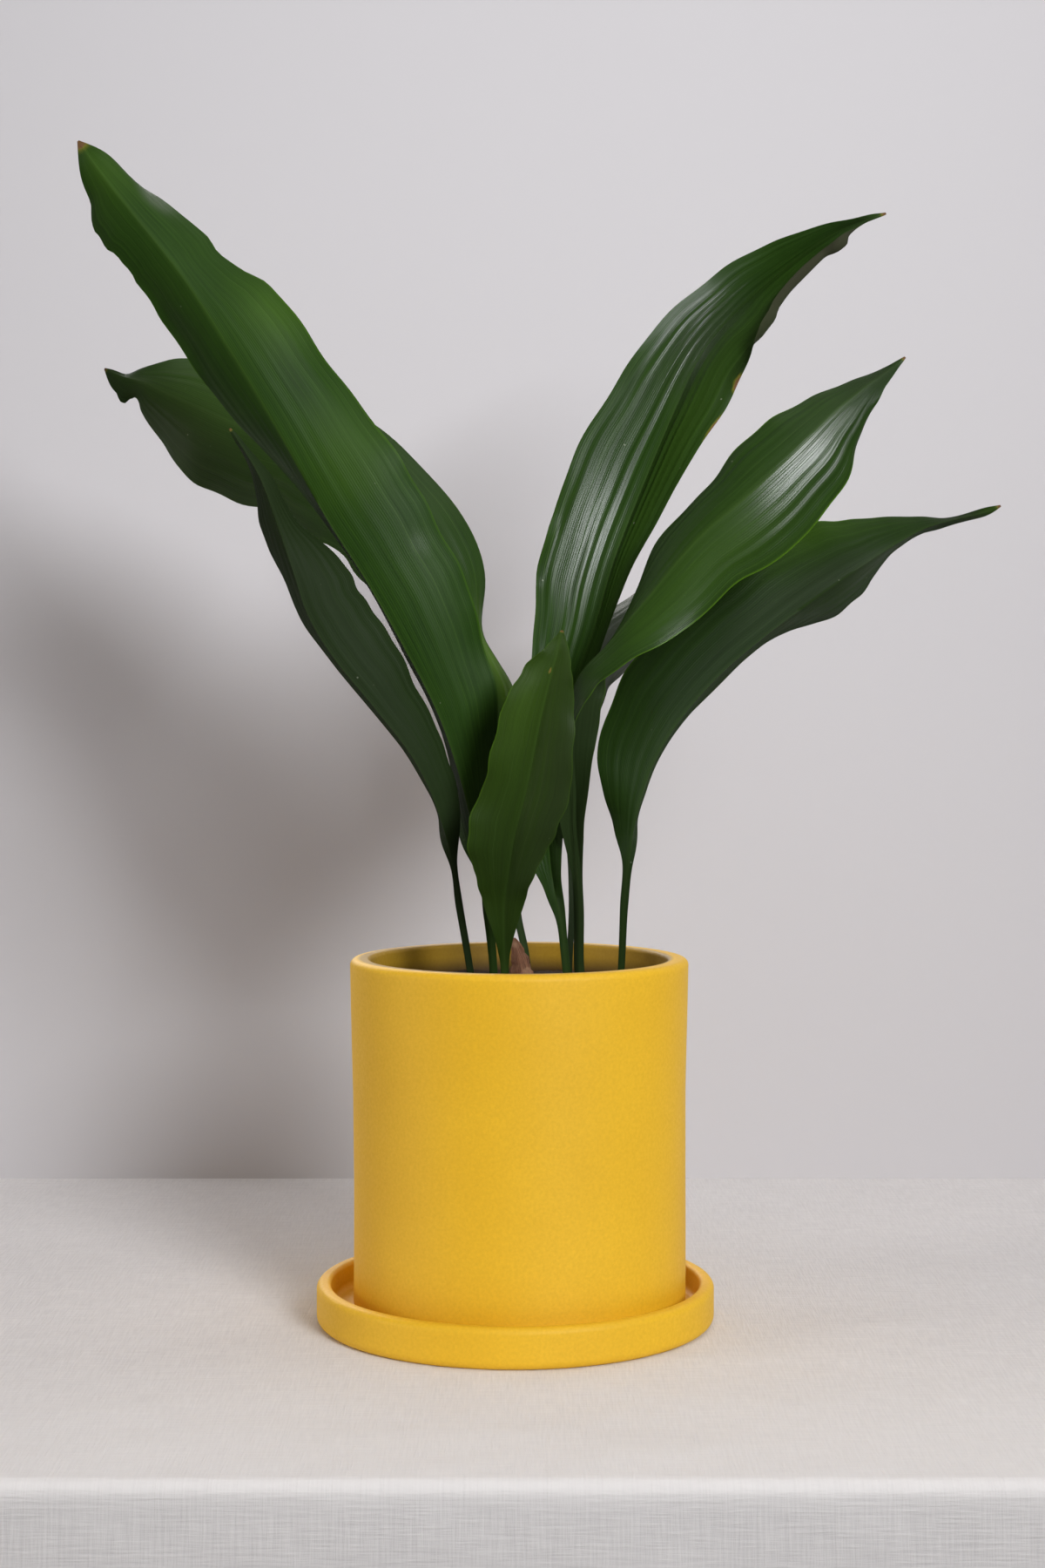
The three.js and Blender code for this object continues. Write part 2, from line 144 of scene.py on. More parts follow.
# One row for each station from the foot in the soil to the tip:
# [x, y, z of the midrib, left and right half-width, left turn, right turn].
# A turn is how many degrees that half of the blade leans out of the X-Z plane towards the front.
LEAVES = {
    "leaf_front_left": [
        [-12, -8, 140, 2, 2, 0, 0],
        [-12, -8, 158, 2, 2, 0, 0],
        [-13, -9, 178, 2, 2, 0, 0],
        [-15, -10, 199, 2.5, 2.5, 0, 0],
        [-18, -12, 220, 3, 4, -20, -10],
        [-23, -16, 244, 14, 11, -59, -34],
        [-30, -20, 271, 18, 21, -80, -22],
        [-40, -24, 299, 22, 31, -88, -14],
        [-56, -28, 330, 23, 41, -93, -10],
        [-73, -30, 360, 24, 44, -94, -10],
        [-92, -32, 390, 24, 45, -88, -10],
        [-114, -34, 430, 23, 41, -60, -14],
        [-136, -35, 467, 26, 37, -44, -14],
        [-158, -35, 501, 25, 27, -38, -26],
        [-180, -34, 529, 23, 20, -30, -38],
        [-196, -32, 549, 13, 14, -26, -32],
        [-208, -30, 566, 0.5, 0.5, 0, 0],
    ],
    "leaf_left": [
        [-22, -12, 140, 1.7, 1.7, 0, 0],
        [-22, -12, 158, 1.7, 1.7, 0, 0],
        [-25, -14, 180, 1.7, 1.7, 0, 0],
        [-29, -16, 204, 1.8, 1.8, 0, 0],
        [-32, -19, 225, 2, 2.2, -20, 0],
        [-37, -23, 244, 9, 10, -80, -24],
        [-43, -27, 261, 15, 15, -85, -30],
        [-53, -31, 279, 21, 20, -87, -30],
        [-70, -35, 301, 26, 26, -87, -25],
        [-87, -38, 322, 29, 30, -88, -23],
        [-99, -40, 342, 29, 29, -82, -21],
        [-106, -42, 363, 26, 26, -72, -32],
        [-114, -44, 387, 17, 14, -60, -60],
        [-121, -45, 406, 8, 8, -60, -49],
        [-129, -46, 420, 3, 3, -60, -50],
        [-135, -46, 429, 0.5, 0.5, 0, 0],
    ],
    "leaf_back_left": [
        [5, 8, 140, 1.8, 1.8, 0, 0],
        [5, 8, 158, 1.8, 1.8, 0, 0],
        [3, 9, 178, 1.8, 1.8, 0, 0],
        [-1, 11, 197, 2, 2, 0, 0],
        [-4, 15, 218, 3, 3.5, 0, 0],
        [-7, 22, 246, 10, 12, -18, -30],
        [-12, 30, 274, 18, 17, -28, -35],
        [-19, 38, 305, 24, 20, -29, -40],
        [-29, 45, 333, 30, 22, -29, -57],
        [-40, 50, 361, 34, 28, -30, -41],
        [-58, 56, 388, 36, 34, -27, -29],
        [-82, 62, 413, 37, 36, -24, -28],
        [-110, 66, 430, 38, 36, -23, -27],
        [-137, 68, 441, 38, 34, -20, -27],
        [-160, 70, 451, 36, 35, -19, -20],
        [-178, 71, 459, 26, 29, -30, -20],
        [-194, 72, 467, 12, 12, -13, -30],
        [-205, 72, 470, 9, 4, -4, -60],
        [-214, 72, 474, 0.5, 0.5, 0, 0],
    ],
    "leaf_centre": [
        [-7, -27, 140, 2, 2, 0, 0],
        [-7, -27, 158, 2, 2, 0, 0],
        [-7, -28, 175, 2, 2, 0, 0],
        [-7, -30, 186, 4, 3.5, 20, 20],
        [-7, -34, 205, 10, 9, 16, 18],
        [-5, -38, 220, 17, 12, 14, 20],
        [-2, -42, 239, 23, 18, 12, 18],
        [4, -46, 263, 21, 21, 14, 16],
        [10, -49, 293, 20, 17, 16, 18],
        [15, -50, 314, 14, 11, 16, 20],
        [18, -50, 325, 7, 6, 20, 22],
        [20, -50, 335, 0.5, 0.5, 0, 0],
    ],
    "leaf_tall_right": [
        [24, -8, 140, 2, 2, 0, 0],
        [24, -8, 158, 2, 2, 0, 0],
        [22, -8, 180, 2, 2, 0, 0],
        [20, -8, 197, 2.5, 2.5, 0, 0],
        [17, -6, 211, 6, 5, 32, 40],
        [15, -3, 226, 13, 8, 32, 46],
        [14, 3, 249, 19, 11, 32, 46],
        [17, 10, 275, 22, 13, 30, 44],
        [25, 17, 305, 25, 11, 26, 46],
        [37, 23, 338, 33, 9, 14, 48],
        [47, 29, 372, 37, 14, 12, 45],
        [61, 37, 408, 39, 21, 12, 42],
        [77, 44, 446, 35, 27, 18, 40],
        [93, 49, 479, 29, 29, 26, 40],
        [114, 52, 504, 23, 26, 34, 42],
        [136, 54, 523, 18, 16, 40, 46],
        [158, 55, 539, 8, 9, 48, 50],
        [173, 55, 546, 3, 3, 55, 55],
        [186, 55, 550, 0.5, 0.5, 0, 0],
    ],
    "leaf_mid_right": [
        [30, 0, 140, 2.5, 2.5, 180, 180],
        [30, 0, 158, 2.5, 2.5, 180, 180],
        [29, -1, 177, 2.5, 2.5, 180, 180],
        [29, -3, 198, 2.5, 2.5, 170, 170],
        [28, -5, 218, 3, 3, 150, 150],
        [26, -9, 241, 7, 8, 135, 140],
        [25, -13, 260, 10, 11, 150, 125],
        [23, -17, 279, 13, 13, 170, 100],
        [24, -21, 298, 16, 14, 195, 75],
        [29, -25, 315, 18, 16, 225, 55],
        [43, -29, 330, 19, 17, 262, 40],
        [60, -33, 350, 24, 24, 284, 15],
        [84, -36, 378, 27, 29, 302, -5],
        [108, -36, 399, 27, 33, 318, -12],
        [131, -32, 420, 24, 30, 325, -15],
        [149, -26, 438, 17, 21, 325, -10],
        [164, -21, 451, 9, 10, 320, 0],
        [175, -17, 459, 4, 4, 320, 0],
        [185, -14, 467, 0.5, 0.5, 320, 0],
    ],
    "leaf_low_right": [
        [49, -4, 140, 1.7, 1.7, 0, 0],
        [49, -4, 158, 1.7, 1.7, 0, 0],
        [50, -4, 179, 1.7, 1.7, 0, 0],
        [51, -4, 203, 2, 2, 0, 0],
        [53, -2, 224, 3, 3, 0, -30],
        [56, 0, 241, 12, 8, -23, -80],
        [60, 2, 257, 21, 15, -13, -85],
        [67, 4, 275, 31, 22, -16, -87],
        [80, 7, 295, 37, 28, -14, -87],
        [98, 10, 315, 39, 32, -15, -88],
        [119, 13, 333, 40, 34, -15, -86],
        [139, 16, 348, 42, 35, -16, -76],
        [157, 18, 361, 38, 33, -22, -65],
        [172, 19, 371, 29, 27, -27, -71],
        [186, 20, 380, 20, 18, -35, -80],
        [201, 20, 388, 10, 8, -46, -75],
        [215, 20, 392, 4, 4, -60, -64],
        [228, 20, 395, 3, 3, -44, -55],
        [238, 20, 399, 0.5, 0.5, 0, 0],
    ],
    "leaf_back": [
        [24, 13, 140, 1.5, 1.5, 0, 0],
        [24, 13, 158, 1.5, 1.5, 0, 0],
        [25, 14, 178, 1.5, 1.5, 0, 0],
        [26, 17, 204, 1.6, 1.6, 0, 0],
        [25, 24, 233, 2, 2, 0, 0],
        [24, 36, 261, 8, 5, -40, -40],
        [23, 54, 283, 24, 9, -35, -50],
        [26, 78, 303, 32, 15, -35, -55],
        [37, 104, 321, 32, 28, -36, -52],
        [53, 132, 339, 28, 30, -42, -49],
        [72, 158, 356, 19, 21, -45, -46],
        [87, 178, 370, 8, 8, -43, -43],
        [101, 192, 380, 0.5, 0.5, 0, 0],
    ],
}

# The dry sheath is a small leaf of its own, folded round the stalk of the back left leaf.
SHEATH = [
    [2.5, 0, 152, 7.2, 7.2, -48, -48],
    [2, 0.3, 160, 7.4, 7.4, -46, -46],
    [1, 0.8, 168, 7.4, 7.6, -45, -45],
    [0, 1.4, 175, 5.5, 6.6, -42, -45],
    [-1.5, 2.2, 181, 3, 4.2, -30, -40],
    [-2.7, 3, 186.5, 0.6, 0.6, 0, 0],
]

# How each leaf looks: the depth of its folds in its lower and its upper part, in millimetres, what
# its waves are multiplied by, its even share of each layer, and how pale its margin is
LOOKS = {
    "leaf_front_left": {"folds": (0.1, 0.07), "dark": 0.05, "rim": 0.15, "shine": 0.02},
    "leaf_left": {
        "folds": (0.16, 0.26), "wave": 0.4, "dull": 0.75, "dark": 0.72, "rim": 0.1, "shine": 0.03,
    },
    "leaf_back_left": {"folds": (0.12, 0.12), "dull": 0.3, "rim": 0.1, "shine": 0.12},
    "leaf_centre": {"folds": (0.12, 0.1), "dull": 0.1, "warm": 0.25, "rim": 0.3, "shine": 0.06},
    "leaf_tall_right": {"folds": (0.42, 0.14), "dull": 0.1, "rim": 0.1, "shine": 0.07},
    "leaf_mid_right": {"folds": (0.12, 0.3), "dull": 0.12, "rim": 0.6, "shine": 0.12},
    "leaf_low_right": {"folds": (0.14, 0.24), "dull": 0.05, "dark": 0.5, "rim": 0.5, "shine": 0.05},
    "leaf_back": {"folds": (0.15, 0.15), "dull": 0.8, "rim": 0.1, "shine": 0.1},
    "sheath": {"folds": (0.0, 0.0)},
}

# Where a margin curls or is notched: how far along, half-length, side, the share of the half where
# it starts, degrees that it turns towards the upper face, and how many millimetres are added
CURLS = {
    "leaf_front_left": [
        (0.79, 0.05, -1, 0.7, 35, 0), (0.93, 0.04, 1, 0.6, -30, 0),
        (0.908, 0.013, -1, 0.6, 0, 2), (0.857, 0.016, -1, 0.6, 0, -4),
        (0.828, 0.02, -1, 0.6, 0, -1.5), (0.805, 0.02, 1, 0.6, 0, -4),
    ],
    "leaf_left": [(0.735, 0.025, 1, 0.6, 0, -1)],
    "leaf_back_left": [
        (0.65, 0.02, -1, 0.6, 0, 2.2), (0.592, 0.02, -1, 0.6, 0, -2),
        (0.928, 0.012, -1, 0.6, 0, 3), (0.892, 0.012, -1, 0.6, 0, -2),
        (0.41, 0.035, 1, 0.6, 0, 2.5),
    ],
    "leaf_tall_right": [
        (0.83, 0.095, 1, 0.62, 165, 9), (0.885, 0.016, 1, 0.62, 15, 6),
        (0.765, 0.018, 1, 0.62, 15, 6), (0.545, 0.02, -1, 0.75, 45, 0),
    ],
    "leaf_mid_right": [(0.86, 0.05, 1, 0.7, -30, 0)],
}

# Soft spots: layer, how far along, where across from -1 to 1, size along, size across and share
SPOTS = {
    "leaf_front_left": [
        # the pale spots at 0.755 and 0.65 are painted light, bright patches where light shines into
        # the blade
        ("dry", 1.0, 0, 0.017, 2, 1.2), ("pale", 0.755, 0.75, 0.03, 0.45, 0.15),
        ("pale", 0.65, 0.55, 0.035, 0.45, 0.11), ("pale", 0.95, 0.2, 0.05, 1, 0.1),
        ("shine", 0.885, 0.85, 0.018, 0.25, 0.9), ("shine", 0.565, 0.75, 0.015, 0.2, 0.06),
    ],
    "leaf_left": [("dry", 1.0, 0, 0.012, 2, 1.0), ("dull", 0.8, 0, 0.1, 2, 0.2)],
    "leaf_back_left": [
        # the pale spot at 0.4 is painted light on the strip by the right margin
        ("dry", 1.0, 0, 0.012, 2, 1.0), ("pale", 0.4, 0.8, 0.05, 0.3, 1.3),
        ("dull", 0.8, -0.6, 0.15, 0.5, 0.3), ("shine", 0.8, -0.4, 0.1, 0.6, 0.4),
        ("pale", 0.8, -0.3, 0.12, 1, 0.17),
    ],
    "leaf_centre": [
        ("dry", 1.0, 0, 0.012, 2, 1.1), ("dry", 0.83, -0.1, 0.008, 0.05, 0.8),
        ("dark", 0.45, 0, 0.16, 2, 0.7), ("dull", 0.62, 0.8, 0.2, 0.5, 0.6),
        ("dark", 0.7, 0.9, 0.15, 0.4, 0.2), ("pale", 0.75, -0.6, 0.08, 0.4, 0.1),
    ],
    "leaf_tall_right": [
        ("dry", 1.0, 0, 0.015, 2, 1.0), ("dry", 0.705, 1, 0.009, 0.07, 0.9),
        ("dry", 0.665, 1, 0.012, 0.04, 0.8), ("shine", 0.565, -0.4, 0.04, 0.4, 0.22),
        # the grey 'dull' spot at 0.73 is partly a painted sheen, a broad soft reflection, and
        # partly a rougher face
        ("shine", 0.74, -0.2, 0.05, 0.5, 0.62), ("dull", 0.73, -0.2, 0.05, 0.5, 0.5),
        ("pale", 0.65, 0.5, 0.15, 0.4, 0.07), ("dull", 0.95, 0.2, 0.06, 1, 0.5),
        # the 'dark' spot at 0.83 is painted shade on the curled margin's underside; the 'dull' one
        # there is that underside's own grey-brown
        ("dull", 0.83, 1, 0.1, 0.3, 0.9), ("dark", 0.83, 1, 0.12, 0.2, 0.8),
    ],
    "leaf_mid_right": [
        ("dry", 1.0, 0, 0.012, 2, 1.0), ("dark", 0.93, 0, 0.1, 2, 0.8),
        ("pale", 0.66, 0.4, 0.1, 0.5, 0.1), ("shine", 0.78, 0.2, 0.05, 0.3, 0.3),
        # the 'dark' spots at 0.42 and 0.2 are painted shade, low on the blade under its overhanging
        # upper part
        ("dark", 0.42, 0, 0.1, 2, 0.9), ("dark", 0.2, 0, 0.15, 2, 0.4),
    ],
    "leaf_low_right": [
        # the grey 'dull' spot at 0.66 is partly a painted sheen, a brownish-grey reflection band,
        # and partly a rougher face
        ("dry", 1.0, 0, 0.015, 2, 1.0), ("dull", 0.66, -0.1, 0.1, 0.35, 0.7),
        ("dark", 0.5, -0.5, 0.1, 0.5, 0.7), ("dull", 0.9, 0, 0.07, 2, 0.7),
        ("shine", 0.73, 0.25, 0.06, 0.3, 0.15), ("pale", 0.97, 0, 0.03, 2, 0.15),
        ("pale", 0.66, -0.9, 0.1, 0.4, 0.15),
    ],
    "leaf_back": [
        ("dry", 1.0, 0, 0.015, 2, 1.0), ("dark", 0.3, 0, 0.2, 2, 0.9),
        ("shine", 0.82, 0, 0.15, 2, 0.1),
    ],
}

PIECES = []               # filled by add_piece, for the light that falls on them alone


class Graph:
    """A material's node tree, with one short call for each kind of node."""

    def __init__(self, name):
        self.material = bpy.data.materials.new(name)
        self.material.use_nodes = True
        self.tree = self.material.node_tree
        self.shader = self.tree.nodes["Principled BSDF"]

    def feed(self, socket, value):
        """Gives a socket a link, where the value is a socket as well, or else a fixed value."""
        if isinstance(value, bpy.types.NodeSocket):
            self.tree.links.new(value, socket)
        else:
            socket.default_value = value

    def node(self, kind, inputs, **settings):
        made = self.tree.nodes.new("ShaderNode" + kind)
        for key, value in settings.items():
            setattr(made, key, value)
        for key, value in inputs.items():
            self.feed(made.inputs[key], value)
        return made

    def attribute(self, name):
        """The three values that store() put on each point of the mesh."""
        vector = self.node("Attribute", {}, attribute_name=name).outputs["Vector"]
        return self.parts(vector)

    def position(self):
        return self.node("TexCoord", {}).outputs["Object"]

    def vector(self, x, y):
        return self.node("CombineXYZ", {0: x, 1: y}).outputs[0]

    def parts(self, vector):
        return self.node("SeparateXYZ", {0: vector}).outputs

    def math(self, operation, a, b=0.0, clamp=False):
        return self.node("Math", {0: a, 1: b}, operation=operation, use_clamp=clamp).outputs[0]

    def plus(self, a, b, clamp=False):
        return self.math("ADD", a, b, clamp)

    def minus(self, a, b):
        return self.math("SUBTRACT", a, b)

    def times(self, a, b):
        return self.math("MULTIPLY", a, b)

    def from_axis(self, place):
        """Distance from the vertical axis."""
        level = self.node("VectorMath", {0: place, 1: (1, 1, 0)}, operation="MULTIPLY").outputs[0]
        return self.node("VectorMath", {0: level}, operation="LENGTH").outputs["Value"]

    def noise(self, vector, scale, detail=2.0, roughness=0.5):
        inputs = {"Vector": vector, "Scale": scale, "Detail": detail, "Roughness": roughness}
        return self.node("TexNoise", inputs).outputs["Fac"]

    def fibres(self, across, along, squeeze, scale, detail=2.0, roughness=0.5):
        """Noise that is drawn out along the blade or the thread."""
        return self.noise(self.vector(across, self.times(along, squeeze)), scale, detail, roughness)

    def ramp(self, value, low, high, to_low=0.0, to_high=1.0):
        inputs = {
            "Value": value, "From Min": low, "From Max": high, "To Min": to_low, "To Max": to_high,
        }
        return self.node("MapRange", inputs).outputs[0]

    def mix(self, factor, a, b):
        """A mix of two colours, each a socket or the name of a paint."""
        made = self.node("Mix", {0: factor}, data_type="RGBA")
        for socket, value in ((made.inputs[6], a), (made.inputs[7], b)):
            self.feed(socket, (*PAINT[value], 1) if isinstance(value, str) else value)
        return made.outputs[2]

    def bump(self, height, distance, strength=1.0, normal=None):
        inputs = {"Height": height, "Distance": distance, "Strength": strength}
        if normal:
            inputs["Normal"] = normal
        return self.node("Bump", inputs).outputs[0]

    def finish(self, **sockets):
        for name, value in sockets.items():
            self.feed(self.shader.inputs[name.replace("_", " ")], value)
        return self.material


def vein_lines(g, across, along):
    """Thin light lines along the blade, some eight millimetres apart, fainter here and there."""
    drift = g.fibres(across, along, 0.02, 0.06, 1.0)
    place = g.plus(g.times(across, 0.125), g.times(drift, 1.5))
    away = g.math("ABSOLUTE", g.minus(g.math("FRACT", place), 0.5))
    crisp = g.ramp(away, 0.0, 0.035, 0.3, 0.0)
    faint = g.fibres(across, along, 0.05, 0.3)
    return g.times(crisp, g.ramp(faint, 0.35, 0.65, 0.1, 1.0))


def dust_specks(g):
    """Small specks of dust, in loose patches."""
    grains = g.node("TexVoronoi", {"Vector": g.position(), "Scale": 110.0}).outputs["Distance"]
    patches = g.ramp(g.noise(g.position(), 40.0), 0.52, 0.62)
    return g.times(g.ramp(grains, 0.04, 0.06, 0.45, 0.0), patches)


def leaf_material():
    """Deep green with fine veins along the blade, paler below, and brown where it has dried; a few
    spots carry painted light, painted sheen and painted shade.
    """
    g = Graph("leaf")
    across, along, under = g.attribute("blade")
    rib, dry, pale = g.attribute("tone")
    dull, warm, dark = g.attribute("cast")
    shine = g.attribute("shine")[0]
    streaks = g.fibres(across, along, 0.015, 0.5, 3.0, 0.6)
    threads = g.fibres(across, along, 0.012, 2.4, 2.0, 0.6)

    # living green
    blotches = g.noise(g.position(), 22.0, 3.0, 0.55)
    colour = g.mix(g.ramp(streaks, 0.35, 0.68), "leaf", "leaf streak")
    colour = g.mix(g.ramp(blotches, 0.45, 0.75, 0.0, 0.4), colour, "leaf blotch")
    colour = g.mix(g.ramp(threads, 0.42, 0.66, 0.0, 0.35), colour, "leaf thread")
    colour = g.mix(warm, colour, "leaf warm")
    # paler margins and spots; a few of the spots are painted light
    colour = g.mix(pale, colour, "leaf pale and painted light")
    lines = g.math("MAXIMUM", vein_lines(g, across, along), g.times(rib, 0.2))
    colour = g.mix(lines, colour, "leaf vein")
    # grey tint of the matt parts; in a few spots a painted sheen
    colour = g.mix(g.times(dull, 0.75), colour, "leaf grey and painted sheen")
    colour = g.mix(g.times(under, 0.3), colour, "underside")
    colour = g.mix(g.times(under, g.times(dull, 0.8)), colour, "dull underside")
    # darker parts; in a few spots painted shade
    colour = g.mix(g.times(dark, 0.6), colour, "leaf dark and painted shade")

    # dry places with a ragged outline, and dust
    fray = g.fibres(across, along, 0.3, 0.5, 4.0, 0.7)
    dryness = g.plus(dry, g.times(g.minus(fray, 0.5), 0.6))
    withered = g.ramp(dryness, 0.42, 0.6)
    colour = g.mix(g.ramp(dryness, 0.2, 0.5, 0.0, 0.7), colour, "yellowed")
    colour = g.mix(withered, colour, g.mix(fray, "withered", "withered light"))
    colour = g.mix(dust_specks(g), colour, "dust")

    # fine relief, and wax that ends where the blade is seen edge-on
    ridges = g.times(g.math("SINE", g.times(across, 5.7)), 0.3)
    normal = g.bump(streaks, 0.0008, g.times(shine, 0.45))
    normal = g.bump(g.plus(ridges, threads), 0.00005, 1.0, normal)
    edge_on = g.ramp(g.node("LayerWeight", {}).outputs["Facing"], 0.65, 0.9)
    wax = g.times(shine, g.minus(1.0, edge_on))
    matt = g.plus(g.times(dull, 0.16), g.times(under, 0.3))
    matt = g.plus(matt, g.times(withered, 0.3))
    matt = g.plus(matt, g.times(edge_on, 0.4))
    rough = g.plus(g.ramp(streaks, 0.3, 0.7, 0.52, 0.42), matt, clamp=True)
    return g.finish(
        Base_Color=colour, Roughness=rough, Normal=normal, Specular_IOR_Level=0.08,
        Coat_Weight=wax, Coat_Roughness=0.27, Coat_Normal=normal)


def sheath_material():
    """Brown paper-dry bract with long fibres."""
    g = Graph("sheath")
    across, along, _ = g.attribute("blade")
    fibres = g.fibres(across, along, 0.08, 1.4, 5.0, 0.7)
    stains = g.noise(g.position(), 160.0, 3.0)
    colour = g.mix(g.ramp(fibres, 0.35, 0.68), "sheath", "sheath light")
    colour = g.mix(g.ramp(stains, 0.5, 0.7, 0.0, 0.6), colour, "sheath stain")
    rough = g.ramp(stains, 0.3, 0.7, 0.85, 0.65)
    return g.finish(Base_Color=colour, Roughness=rough, Normal=g.bump(fibres, 0.0006))


def glaze_material():
    """Matte mustard glaze: an even coat with faint mottling, fine speckle and soft dimples, and
    painted shade on the inner wall.
    """
    g = Graph("glaze")
    place = g.position()
    clouds = g.noise(place, 9.0, 3.0, 0.55)
    grain = g.noise(place, 650.0, 3.0, 0.6)
    colour = g.mix(g.ramp(clouds, 0.3, 0.7), "glaze", "glaze light")
    colour = g.mix(g.ramp(grain, 0.3, 0.7, 0.0, 0.3), colour, "glaze speckle")

    # painted shade on the inner wall below the rim, brown-dark and deepest towards the soil
    within = g.ramp(g.from_axis(place), 0.0755, 0.0775, 1.0, 0.0)
    below_rim = g.ramp(g.parts(place)[2], 0.1635, 0.171, 1.0, 0.6)
    inner_shade = g.mix(clouds, "inner wall shade", "inner wall shade pale")
    colour = g.mix(g.times(within, below_rim), colour, inner_shade)

    normal = g.bump(g.noise(place, 45.0), 0.0006, 0.5)
    normal = g.bump(grain, 0.00012, 0.7, normal)
    rough = g.ramp(grain, 0.3, 0.7, 0.52, 0.66)
    return g.finish(Base_Color=colour, Roughness=rough, Normal=normal, Specular_IOR_Level=0.42)


def soil_material():
    """Dark potting mix with paler fibres and crumbs."""
    g = Graph("soil")
    place = g.position()
    crumbs = g.noise(place, 260.0, 5.0, 0.7)
    damp = g.noise(place, 30.0, 3.0)
    colour = g.mix(g.ramp(crumbs, 0.35, 0.7), "soil", "soil crumb")
    colour = g.mix(g.ramp(damp, 0.4, 0.7, 0.0, 0.5), colour, "soil dry")
    rough = g.ramp(damp, 0.3, 0.7, 0.98, 0.8)
    return g.finish(Base_Color=colour, Roughness=rough, Normal=g.bump(crumbs, 0.0012))


def linen_material():
    """Pale linen: threads both ways, thick and thin, soft creases, and painted light towards the
    front.
    """
    g = Graph("linen")
    place = g.position()
    x, y, z = g.parts(place)
    down = g.minus(y, z)
    weft = g.noise(g.vector(g.times(x, 0.06), down), 900.0, 3.0, 0.6)
    warp = g.fibres(x, down, 0.06, 900.0, 3.0, 0.6)
    weave = g.plus(weft, warp)
    slubs = g.noise(g.vector(g.times(x, 0.12), down), 160.0, 3.0, 0.6)
    colour = g.mix(g.ramp(weave, 0.75, 1.25), "linen", "linen light")
    colour = g.mix(g.ramp(slubs, 0.55, 0.75, 0.0, 0.3), colour, "linen slub")
    # painted light: the cloth is made lighter towards its front edge
    front_painted_light = g.times(g.ramp(y, -0.07, -0.22, 0.0, 0.55), g.ramp(z, -0.012, -0.003))
    colour = g.mix(front_painted_light, colour, "linen painted light")
    creases = g.noise(g.vector(g.times(x, 0.5), down), 9.0, 3.0)
    normal = g.bump(creases, 0.012, 0.55)
    normal = g.bump(weave, 0.0004, 1.0, normal)
    return g.finish(Base_Color=colour, Roughness=0.95, Normal=normal)


def wall_material():
    """Painted wall that can't be seen from behind, so that the object shows from every side."""
    g = Graph("wall")
    g.finish(Base_Color=(*PAINT["wall"], 1), Roughness=0.9)
    clear = g.node("BsdfTransparent", {})
    behind = g.node("NewGeometry", {}).outputs["Backfacing"]
    mixed = g.node("MixShader", {0: behind, 1: g.shader.outputs[0], 2: clear.outputs[0]})
    g.feed(g.tree.nodes["Material Output"].inputs["Surface"], mixed.outputs[0])
    return g.material


def rise(values, low, high):
    """0 up to low, 1 from high on, and a straight line between them."""
    return np.clip((values - low) / (high - low), 0, 1)


def turns(count, phase=0.0):
    """The sine of so many full turns, with a phase in radians."""
    return np.sin(2 * math.pi * count + phase)


def unit(vectors):
    """The same directions with a length of 1."""
    return vectors / np.linalg.norm(vectors, axis=-1, keepdims=True)


def rows_at(rows, t):
    """Rows between the rows, on a Catmull-Rom curve through all of them."""
    last = len(rows) - 1
    place = np.clip(t, 0, 1) * last
    i = np.minimum(place.astype(int), last - 1)
    u = (place - i)[:, None]
    a, b, c, d = (rows[np.clip(i + k, 0, last)] for k in (-1, 0, 1, 2))
    return 0.5 * (2 * b + (c - a) * u + (2 * a - 5 * b + 4 * c - d) * u ** 2
                  + (3 * b - a - 3 * c + d) * u ** 3)


def spread(angle, sign, side, face):
    """The direction across a half of the blade that leans by angle, and its upper face's normal."""
    way = sign * np.cos(angle)[..., None] * side + np.sin(angle)[..., None] * face
    out = -sign * np.sin(angle)[..., None] * side + np.cos(angle)[..., None] * face
    return way, out


def half_blade(name, sign, t, here, side, face, seed):
    """Points, normals, shares and reaches of one half, from the midrib to the margin."""
    column = 3 if sign < 0 else 4
    turn = np.radians(here[:, column + 2])[:, None]
    width = np.maximum(here[:, column], HALF_MIN)[:, None]
    bow = math.radians(BOW) * rise(width, 4, 16)
    jagged = turns(11.7 * t, 2 * seed + sign) + turns(19.1 * t, 3 * seed)
    width = width + (EDGE_WOBBLE * jagged * rise(t, 0.3, 0.5))[:, None] * rise(width, 0, 20)
    curls = [curl for curl in CURLS.get(name, []) if curl[2] == sign]
    windows = [np.exp(-((t[:, None] - at) / size) ** 4) for at, size, *_ in curls]
    for window, (*_, extra) in zip(windows, curls):
        width = width + extra * window

    def lean(share):
        angle = turn + bow * (share - 0.5)
        for window, (*_, start, degrees, _) in zip(windows, curls):
            angle = angle + math.radians(degrees) * window * rise(share, start, 1)
        return angle

    share = np.linspace(0, 1, COLUMNS + 1)[None, :]
    between = (share[:, 1:] + share[:, :-1]) / 2
    side, face = side[:, None, :], face[:, None, :]
    way, _ = spread(lean(between), sign, side, face)
    steps = way * (width / COLUMNS)[..., None]
    points = np.concatenate([np.zeros((len(t), 1, 3)), np.cumsum(steps, axis=1)], axis=1)
    _, out = spread(lean(share), sign, side, face)
    points = points + out * lift(name, sign, t[:, None], share, width, seed)[..., None]
    return points, out, share + 0 * width, share * width


